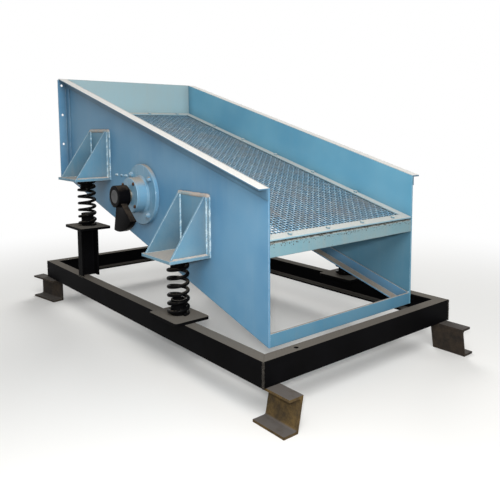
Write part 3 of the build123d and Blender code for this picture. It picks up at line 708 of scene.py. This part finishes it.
@dataclass
class BaseFrame:
    """Channel frame on its feet, with the rear posts and the spring seats."""

    centre_x: float = -0.0122913
    length: float = 1.58
    width: float = 0.88
    top: float = 0.175
    beam_height: float = 0.075
    flange: float = 0.04
    post_x: float = -0.4112913
    post_rise: float = 0.209
    seat_length: float = 0.17
    corner_inset: float = 0.0015
    corner_gap: float = 0.003
    post_inset: float = 0.001
    seat_inset: float = 0.002
    seat_gap: float = 0.012

    def paint(self) -> None:
        """Dress the CAD nodes of the base."""
        dress(FRAME, *[f"frame_beam_{n}" for n in SIDES + ENDS], *[f"post_{s}" for s in SIDES])
        dress(FRAME, *[f"spring_seat_{e}_{s}" for e in ENDS for s in SIDES], "lower_spring_guides")
        dress(FOOT, "foot_front_near")
        dress(SHADED_FOOT, "foot_front_far", "foot_rear_near", "foot_rear_far")

    def welds(self) -> None:
        """Lay the corner seams, the post roots and the seat edges."""
        runs = WeldRuns("frame_welds", Body.BASE, BLACK_BEAD, Slot.FRAME, leg=0.008, step=0.0046)
        low = self.top - self.beam_height + self.corner_gap
        high = self.top - self.corner_gap
        for end in (-1, 1):
            x = self.centre_x + end * (self.length / 2 - self.corner_inset)
            for side in (-1, 1):
                y = side * (self.width / 2 - self.corner_inset)
                runs.seam((x, y, low), (x, y, high))
        back = self.post_x - self.flange / 2
        seats = (
            (SPRING_X["front"], self.top, self.seat_length / 2 - self.seat_gap),
            (SPRING_X["rear"], self.top + self.post_rise, self.flange / 2),
        )
        for side in (-1, 1):
            outer = side * (self.width / 2 - self.post_inset)
            inner = side * (self.width / 2 - self.beam_height)
            runs.seam((back, inner, self.top), (back, outer, self.top))
            runs.seam((back, outer, self.top), (back + self.flange, outer, self.top))
            edge = side * (self.width / 2 - self.seat_inset)
            for x, z, reach in seats:
                runs.seam((x - reach, edge, z), (x + reach, edge, z))
        runs.build()

    def build(self) -> None:
        """Paint the base and lay its welds."""
        self.paint()
        self.welds()


@dataclass
class CoilSprings:
    """Four compression springs with closed, ground ends; they stand between base and body.

    At each end, closed_share of a turn lies closed. Its pitch and its grinding are shares of wire_d.
    """

    outer_d: float = 0.076
    wire_d: float = 0.012
    height: float = 0.192
    active_turns: int = 6
    closed_share: float = 0.75
    closed_pitch: float = 1.06
    ground_share: float = 0.25
    sides: int = 14
    steps: int = 40

    def turns(self, start_turn: float, start_z: float, share: float, pitch: float, count: int) -> Piece:
        """Wind one stretch of wire of one pitch.

        Args:
            start_turn: Where round the axis it starts, in turns.
            start_z: Height of the wire's centre at the start.
            share: Part of a full turn that one winding covers.
            pitch: Rise per full turn.
            count: Number of windings.

        Returns:
            The open-ended coil.
        """
        mean_r = (self.outer_d - self.wire_d) / 2
        start = 2 * math.pi * start_turn
        steps = round(self.steps * share)
        coil = begin(
            bpy.ops.mesh.primitive_circle_add, vertices=self.sides, radius=self.wire_d / 2,
            location=(mean_r * math.cos(start), mean_r * math.sin(start), start_z),
            rotation=(math.pi / 2, 0, start),
        )
        apply(
            coil, "SCREW", axis="Z", angle=2 * math.pi * share, screw_offset=pitch * share,
            iterations=count, steps=steps, render_steps=steps, use_smooth_shade=True,
        )
        return coil

    def one(self, place: Vector) -> Piece:
        """Wind one spring, grind its ends flat and stand it at its place.

        Args:
            place: Middle of its lower end.

        Returns:
            The finished mesh object.
        """
        ground = self.ground_share * self.wire_d
        share = self.closed_share
        closed = self.closed_pitch * self.wire_d
        rise = self.height - self.wire_d + 2 * ground
        pitch = (rise - 2 * share * closed) / self.active_turns
        start = self.wire_d / 2 - ground
        lower = self.turns(0.0, start, share, closed, 1)
        active = self.turns(share, start + share * closed, 1.0, pitch, self.active_turns)
        upper = self.turns(share, start + rise - share * closed, share, closed, 1)
        spring = join([lower, active, upper])
        with editing(spring):
            bpy.ops.mesh.remove_doubles(threshold=TOUCHING)
            bpy.ops.mesh.fill_holes(sides=0)
        cut(spring, ((0, 0, 0), (0, 0, -1)), ((0, 0, self.height), (0, 0, 1)))
        spring.location = place
        return spring

    def build(self) -> None:
        """Wind the four springs and stand each on its seat, between the base and the body."""
        for end in ENDS:
            for side, y in zip(SIDES, (-SPRING_Y, SPRING_Y)):
                where = f"{end}_{side}"
                low = Vector((SPRING_X[end], y, SEAT_TOP[end]))
                spring = self.one(low)
                settle(spring, f"coil_spring_{where}", COIL)
                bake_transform(spring)
                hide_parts(f"spring_{where}")


@dataclass
class ScreenBody:
    """Sloping welded body: plates, edge angles, spring brackets and their welds."""

    outer_y: float = 0.34
    bracket_z: Span = (0.377, 0.586)
    bracket_w: float = 0.178
    bracket_d: float = 0.152
    bracket_h: float = 0.2
    base_t: float = 0.01
    back_t: float = 0.008
    gusset_inset: float = 0.012
    gusset_lip: float = 0.008
    rim_gap: float = 0.004
    end_gap: float = 0.006
    toe_gap: float = 0.01
    crest_lift: Span = (0.003, 0.001)
    corner_inset: float = 0.005
    corner_run: Span = (0.01, 0.04)
    stitch_x: tuple[float, ...] = (-0.256, -0.211, -0.177)
    stitch_z: float = 0.612
    stitch_length: float = 0.014

    def paint(self) -> None:
        """Dress the CAD nodes of the body."""
        dress(SIDE_PLATE, "side_plate_near", *[f"rear_angle_{s}" for s in SIDES])
        dress(FAR_PLATE, "side_plate_far")
        dress(FLANGE, *[f"top_angle_{s}" for s in SIDES])
        dress(LEDGE, *[f"{n}_{s}" for n in ("bottom_angle", "deck_ledge") for s in SIDES])
        dress(LEDGE, "rear_deck_ledge", "deck_bearers", "deck_runners", "shaft_tube")
        dress(CROSS, "front_cross_angle")
        dress(PALE, "front_deck_beam")
        dress(FEED_PLATE, "rear_plate")
        dress(BRACKET, *[f"spring_bracket_{e}_{s}" for e in ENDS for s in SIDES])
        dress(FRAME, "upper_spring_guides")

    def bracket_seams(
        self, runs: WeldRuns, foot: WeldRuns, crest: WeldRuns, x: float, z: float, side: int
    ) -> None:
        """Note the seams of one spring bracket.

        Args:
            runs: Weld piece of the upright seams.
            foot: Weld piece of the dusty seams on the base plate.
            crest: Weld piece of the wide dusty seams along the top.
            x: Middle of the bracket.
            z: Underside of its base plate.
            side: -1 on the near side, 1 on the far side.
        """
        plate = side * self.outer_y
        back = side * (self.outer_y + self.back_t)
        toe = side * (self.outer_y + self.bracket_d - self.gusset_lip - self.toe_gap)
        floor = z + self.base_t
        top = z + self.bracket_h
        for edge in (-1, 1):
            rim = x + edge * self.bracket_w / 2
            runs.seam((rim, plate, z + self.rim_gap), (rim, plate, top - self.rim_gap))
            out = x + edge * (self.bracket_w / 2 - self.gusset_inset + self.back_t / 2)
            into = out - edge * self.back_t
            runs.seam((out, back, floor), (out, back, top - self.end_gap))
            foot.seam((out, back, floor), (out, toe, floor))
            runs.seam((into, back, floor + self.toe_gap), (into, back, top - self.end_gap))
        half = self.bracket_w / 2 - self.end_gap
        lift_y, lift_z = self.crest_lift
        ledge = side * (self.outer_y + lift_y)
        crest.seam((x - half, ledge, top + lift_z), (x + half, ledge, top + lift_z))

    def welds(self) -> None:
        """Lay the welds of the brackets and of the body's corners."""
        runs = WeldRuns("body_welds", Body.SCREEN, BEAD, Slot.BODY)
        foot = WeldRuns("bracket_foot_welds", Body.SCREEN, DUSTY_BEAD, Slot.BODY)
        crest = WeldRuns("bracket_top_welds", Body.SCREEN, DUSTY_BEAD, Slot.BODY, leg=0.016, step=0.0075)
        corner_x = FRONT_X - self.corner_inset
        low, high = (FRONT_LOW + rise for rise in self.corner_run)
        for side in (-1, 1):
            for end, z in zip(ENDS, self.bracket_z):
                self.bracket_seams(runs, foot, crest, SPRING_X[end], z, side)
            runs.seam((corner_x, side * INNER_Y, low), (corner_x, side * INNER_Y, high))
        for x in self.stitch_x:
            start = (x, -self.outer_y, self.stitch_z)
            runs.seam(start, (x + self.stitch_length, -self.outer_y, self.stitch_z))
        for welds in (runs, foot, crest):
            welds.build()

    def build(self) -> None:
        """Paint the body and lay its welds."""
        self.paint()
        self.welds()


@dataclass
class WireDeck:
    """Woven wire screen, clamped at its edges by strips and bolts.

    Crimp, the height of a wave, and caked, the breadth of a dusty wire, are shares of wire_d.
    """

    rear_x: float = -0.7412913
    high: float = 0.312
    wire_d: float = 0.0035
    strip_mid: float = 0.015
    rear_inset: float = 0.021
    pitch: float = 0.015
    end_gap: float = 0.006
    side_gap: float = 0.002
    wire_sides: int = 6
    crimp: float = 0.3
    caked: float = 1.35
    spare_waves: int = 4

    def wave_wire(self, across: bool, step: float, start: float, cells: int, first: int) -> Piece:
        """Crimp one wire, broad with caked dust: it goes over one crossing wire and under the next.

        Args:
            across: True for a wire across the deck, False for one along the slope.
            step: Distance between crossing wires.
            start: Place of the first crossing.
            cells: Number of full waves.
            first: 1 if it starts over the first crossing wire, -1 if under it.

        Returns:
            The open-ended wire in deck coordinates.
        """
        rise = first * self.crimp * self.wire_d
        wire = begin(
            bpy.ops.mesh.primitive_circle_add, vertices=self.wire_sides, radius=self.wire_d / 2,
            location=(0, start, rise) if across else (start, 0, rise),
            rotation=(math.pi / 2, 0, 0) if across else (0, math.pi / 2, 0),
        )
        with editing(wire):
            bpy.ops.transform.resize(value=(self.caked, 1, 1) if across else (1, self.caked, 1))
            for lift in (-rise, -rise, rise, rise):
                move = (0, step / 2, lift) if across else (step / 2, 0, lift)
                bpy.ops.mesh.extrude_region_move(TRANSFORM_OT_translate={"value": move})
        repeat(wire, (0, 2 * step, 0) if across else (2 * step, 0, 0), cells, weld=True)
        return wire

    def weave(self) -> None:
        """Weave the screen in deck coordinates, then lay it on the slope."""
        tilt = math.radians(SLOPE_DEG)
        cos = math.cos(tilt)
        span_x = (FRONT_X - self.strip_mid - self.rear_x - self.rear_inset) / cos
        span_y = 2 * (INNER_Y - self.strip_mid)
        gaps_x = round(span_x / self.pitch)
        gaps_y = round(span_y / self.pitch)
        step_x = span_x / gaps_x
        step_y = span_y / gaps_y
        first_y = -span_y / 2 - step_y / 2
        first_x = FRONT_X - self.strip_mid + 0.5 * step_x * cos
        low = (self.rear_x + self.end_gap - first_x) / cos
        high = (FRONT_X - self.end_gap - first_x) / cos
        reach = INNER_Y - self.side_gap
        normal = Vector((math.sin(tilt), 0, cos))
        on_slope = FRONT_LOW + (FRONT_X - first_x) * math.tan(tilt) + self.high
        origin = Vector((first_x, 0, on_slope)) - normal * self.wire_d
        # Each wire starts an even number of steps outside, which sets where it goes over and under
        start_x = -(gaps_x + 1 + (gaps_x + 1) % 2 + 2) * step_x
        start_y = first_y - 2 * step_y
        for name, across, step, start, gaps, ends, first, shift, others in (
            ("screen_wires_across", True, step_y, start_y, gaps_y, (-reach, reach), 0.0, -step_x, gaps_x),
            ("screen_wires_along", False, step_x, start_x, gaps_x, (low, high), first_y, step_y, gaps_y),
        ):
            along = Vector((0, 1, 0)) if across else Vector((1, 0, 0))
            beside = along.yxz
            wires = []
            for row in (0, 1):
                over = 1 if across == (row == 0) else -1
                wire = self.wave_wire(across, step, start, gaps // 2 + self.spare_waves, over)
                cut(wire, (ends[0] * along, -along), (ends[1] * along, along))
                with editing(wire):
                    bpy.ops.transform.translate(value=(first + row * shift) * beside)
                repeat(wire, tuple(2 * shift * beside), (others + 2 - row + 1) // 2)
                wires.append(wire)
            screen = join(wires)
            screen.matrix_world = Matrix.Translation(origin) @ Matrix.Rotation(tilt, 4, "Y")
            settle(screen, name, WIRE, smooth_deg=80.0)
            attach(screen, Body.SCREEN.value)
            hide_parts("wire_mesh")

    def build(self) -> None:
        """Weave the screen and dress what clamps it."""
        self.weave()
        dress(STRIP, *[f"clamp_strip_{n}" for n in ENDS + SIDES], "clamp_bolts")


@dataclass
class Exciter:
    """Eccentric shaft in its bearing housings, with weights and the drive pulley."""

    shaft_x: float = -0.0302913
    shaft_z: float = 0.55
    shaft_r: float = 0.025
    hub_r: float = 0.04
    weight_r: float = 0.13
    sector_deg: Span = (-103.0, -39.0)
    sector_bore: float = 0.9
    edge_bevel: float = 0.0012
    key: tuple[float, float, float] = (0.014, 0.0195, 0.0285)
    keyway_length: float = 2.0
    hub_y: tuple[Span, Span] = ((-0.461, -0.415), (0.4085, 0.4325))
    sector_y: tuple[Span, Span] = ((-0.451, -0.427), (0.4085, 0.4325))
    facets: int = 96
    cover_y: float = 0.402
    cover_bolt_r: float = 0.0585
    cover_bolt_deg: tuple[float, ...] = (50.0, 140.0, 230.0, 320.0)
    bolt_head: Span = (0.0058, 0.0042)
    washer: Span = (0.00725, 0.0012)
    head_bevel: float = 0.0005
    head_turn: float = 3.0

    def ring(self, inner_r: float, outer_r: float, ends: Span) -> Piece:
        """Turn a plain ring about the shaft.

        Args:
            inner_r: Radius of its bore.
            outer_r: Radius of its rim.
            ends: Y of its two faces.

        Returns:
            The ring.
        """
        ring = begin(
            bpy.ops.mesh.primitive_cylinder_add, vertices=self.facets, radius=outer_r,
            depth=ends[1] - ends[0], location=(self.shaft_x, sum(ends) / 2, self.shaft_z),
            rotation=(math.pi / 2, 0, 0),
        )
        with editing(ring):
            bpy.ops.mesh.select_mode(type="FACE")
            bpy.ops.mesh.select_all(action="DESELECT")
            bpy.ops.mesh.select_face_by_sides(number=4, type="GREATER")
            bpy.ops.mesh.inset(thickness=outer_r - inner_r)
            bpy.ops.mesh.bridge_edge_loops()
        return ring

    def weight(self, name: str) -> None:
        """Cut one hanging sector, join it to its keyed hub and hang it on the rotor.

        Args:
            name: Side of the machine, near or far.
        """
        side = SIDES.index(name)
        hub = self.ring(self.shaft_r, self.hub_r, self.hub_y[side])
        width, low, high = self.key
        keyway = begin(
            bpy.ops.mesh.primitive_cube_add, size=1.0,
            location=(self.shaft_x, 0, self.shaft_z + (low + high) / 2),
            scale=(width, self.keyway_length, high - low),
        )
        apply(hub, "BOOLEAN", operation="DIFFERENCE", object=keyway, solver="EXACT")
        bpy.data.objects.remove(keyway)

        sector = self.ring(self.sector_bore * self.hub_r, self.weight_r, self.sector_y[side])
        axis = (self.shaft_x, 0, self.shaft_z)
        start, end = (math.radians(angle) for angle in self.sector_deg)
        past_end = (-math.sin(end), 0, math.cos(end))
        before_start = (math.sin(start), 0, -math.cos(start))
        cut(sector, (axis, past_end), (axis, before_start))
        sharp = math.radians(40.0)
        for piece in (hub, sector):
            apply(piece, "BEVEL", width=self.edge_bevel, segments=2, limit_method="ANGLE", angle_limit=sharp)
        weight = join([hub, sector])
        settle(weight, f"eccentric_weight_{name}", WEIGHT)
        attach(weight, Body.ROTOR.value)
        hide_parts(f"counterweight_{name}")

    def cover_bolts(self) -> None:
        """Set four chamfered hex heads on washers in each bearing cover, each turned its own way."""
        head_r, height = self.bolt_head
        washer_r, washer_t = self.washer
        rounds = ((20, washer_r, 0.0, washer_t), (6, head_r, washer_t, height))
        heads = []
        for side in (-1, 1):
            for angle in self.cover_bolt_deg:
                x = self.shaft_x + self.cover_bolt_r * math.cos(math.radians(angle))
                z = self.shaft_z + self.cover_bolt_r * math.sin(math.radians(angle))
                for sides, radius, low, high in rounds:
                    head = begin(
                        bpy.ops.mesh.primitive_cylinder_add, vertices=sides, radius=radius, depth=high - low,
                        location=(x, side * (self.cover_y + (low + high) / 2), z),
                        rotation=(math.pi / 2, math.radians(self.head_turn * angle), 0),
                    )
                    heads.append(head)
        bolts = join(heads)
        sharp = math.radians(50.0)
        apply(bolts, "BEVEL", width=self.head_bevel, segments=2, limit_method="ANGLE", angle_limit=sharp)
        settle(bolts, "cover_bolts", BOLT, smooth_deg=30.0)
        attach(bolts, Body.SCREEN.value)

    def build(self) -> None:
        """Cut the weights, set the bolts and dress the CAD nodes."""
        dress(CASTING, *[f"bearing_{n}_{s}" for n in ("housing", "cover") for s in SIDES], "housing_studs")
        dress(WEIGHT, "drive_pulley")
        dress(SHAFT, "shaft", "shaft_keys", "bearing_outer_rings", "bearing_inner_rings", "bearing_rollers")
        for name in SIDES:
            self.weight(name)
        self.cover_bolts()


@dataclass(frozen=True)
class Lamp:
    """Square area lamp: where it hangs, its side length and its power in watts."""

    name: str
    place: Point
    size: float
    watts: float

    def hang(self, aim: Vector) -> None:
        """Hang the lamp.

        Args:
            aim: Point that it shines at.
        """
        data = bpy.data.lights.new(self.name, "AREA")
        data.size = self.size
        data.energy = self.watts
        lamp = bpy.data.objects.new(self.name, data)
        bpy.context.scene.collection.objects.link(lamp)
        lamp.location = self.place
        lamp.rotation_euler = (aim - lamp.location).to_track_quat("-Z", "Y").to_euler()


@dataclass
class Studio:
    """Pale floor and the photograph's camera, with its flash and two soft lamps.

    The key lamp hangs over the discharge end and the back lamp behind the body. Between the two
    distances of fade, the floor turns plain white to the camera.
    """

    floor_size: float = 40.0
    floor_z: float = -0.0005
    floor_colour: str = "#f2f1ee"
    bounce_colour: str = "#5a534c"
    white: str = "#ffffff"
    fade: Span = (0.9, 2.6)
    world_strength: float = 0.34
    aim: Point = (0.0, 0.0, 0.5)
    key: Lamp = Lamp("key", (2.3, -1.3, 2.6), 1.8, 66.0)
    flash: Lamp = Lamp("flash", (1.92, -1.42, 0.9), 0.12, 22.0)
    back: Lamp = Lamp("back", (-2.4, 2.2, 2.2), 2.0, 75.0)
    camera_place: Point = (1.9037, -1.399, 0.788)
    azimuth_deg: float = 50.82
    pitch_deg: float = 5.72
    roll_deg: float = -0.35
    sensor_mm: float = 36.0
    lens_mm: float = 41.6
    shift_y: float = -0.124
    sight: float = 100.0

    def seen(self, add: AddNode) -> Socket:
        """Tell rays that reach the eye, also by a mirror or through glass, from rays that light.

        Args:
            add: Adds nodes to the tree.

        Returns:
            1 for rays that reach the eye, 0 for the others.
        """
        camera = add("LightPath", out="Is Camera Ray")
        rays = camera.node.outputs
        direct = add("Math", {0: camera, 1: rays["Is Glossy Ray"]}, operation="MAXIMUM")
        return add("Math", {0: direct, 1: rays["Is Transmission Ray"]}, operation="MAXIMUM")

    def floor(self) -> None:
        """Lay the floor; away from the object it turns plain white to the camera."""
        place = (0, 0, self.floor_z)
        plane = begin(bpy.ops.mesh.primitive_plane_add, size=self.floor_size, location=place)
        plane.name = "studio_floor"
        material, add = new_material("studio floor, matt white")
        here = add("TexCoord", out="Object")
        away = add("VectorMath", {0: here}, "Value", operation="LENGTH")
        near, far = self.fade
        fade = add("MapRange", {0: away, 1: near, 2: far}, interpolation_type="SMOOTHSTEP")
        seen = self.seen(add)
        share = add("Math", {0: fade, 1: seen}, operation="MULTIPLY")
        colours = {6: linear(self.bounce_colour), 7: linear(self.floor_colour)}
        tone = add("Mix", {0: seen, **colours}, 2, data_type="RGBA")
        matt = add("BsdfDiffuse", {"Color": tone})
        white = add("Emission", {"Color": linear(self.white)})
        add("OutputMaterial", {0: add("MixShader", {0: share, 1: matt, 2: white})})
        plane.data.materials.append(material)

    def world(self) -> None:
        """Even white surround, plain white where the camera sees it."""
        world = bpy.data.worlds.new("studio")
        bpy.context.scene.world = world
        world.use_nodes = True
        world.node_tree.nodes.clear()
        add = partial(add_node, world.node_tree)
        strength = add("MapRange", {0: self.seen(add), 3: self.world_strength})
        add("OutputWorld", {0: add("Background", {"Color": linear(self.white), "Strength": strength})})

    def camera(self) -> None:
        """Set the camera up at the photograph's viewpoint."""
        data = bpy.data.cameras.new("photo_view")
        data.sensor_width = self.sensor_mm
        data.lens = self.lens_mm
        data.shift_y = self.shift_y
        data.clip_end = self.sight
        camera = bpy.data.objects.new("photo_view", data)
        bpy.context.scene.collection.objects.link(camera)
        az, pitch, roll = (math.radians(a) for a in (self.azimuth_deg, self.pitch_deg, self.roll_deg))
        ahead = Vector((-math.sin(az) * math.cos(pitch), math.cos(az) * math.cos(pitch), -math.sin(pitch)))
        right = Vector((math.cos(az), math.sin(az), 0))
        up = right.cross(ahead)
        across = right * math.cos(roll) + up * math.sin(roll)
        upward = up * math.cos(roll) - right * math.sin(roll)
        turn = Matrix((across, upward, -ahead)).transposed().to_4x4()
        camera.matrix_world = Matrix.Translation(self.camera_place) @ turn
        bpy.context.scene.camera = camera

    def build(self) -> None:
        """Set the stage, the light and the view."""
        self.floor()
        self.world()
        for lamp in (self.key, self.flash, self.back):
            lamp.hang(Vector(self.aim))
        self.camera()
        bpy.context.scene.view_settings.view_transform = "Standard"


def main() -> None:
    """Build the sub-assemblies in order, then the studio."""
    logging.basicConfig(level=logging.INFO, format="%(message)s")
    for assembly in (BaseFrame(), CoilSprings(), ScreenBody(), WireDeck(), Exciter(), Studio()):
        log.info("building %s", type(assembly).__name__)
        assembly.build()


if __name__ == "__main__":
    main()
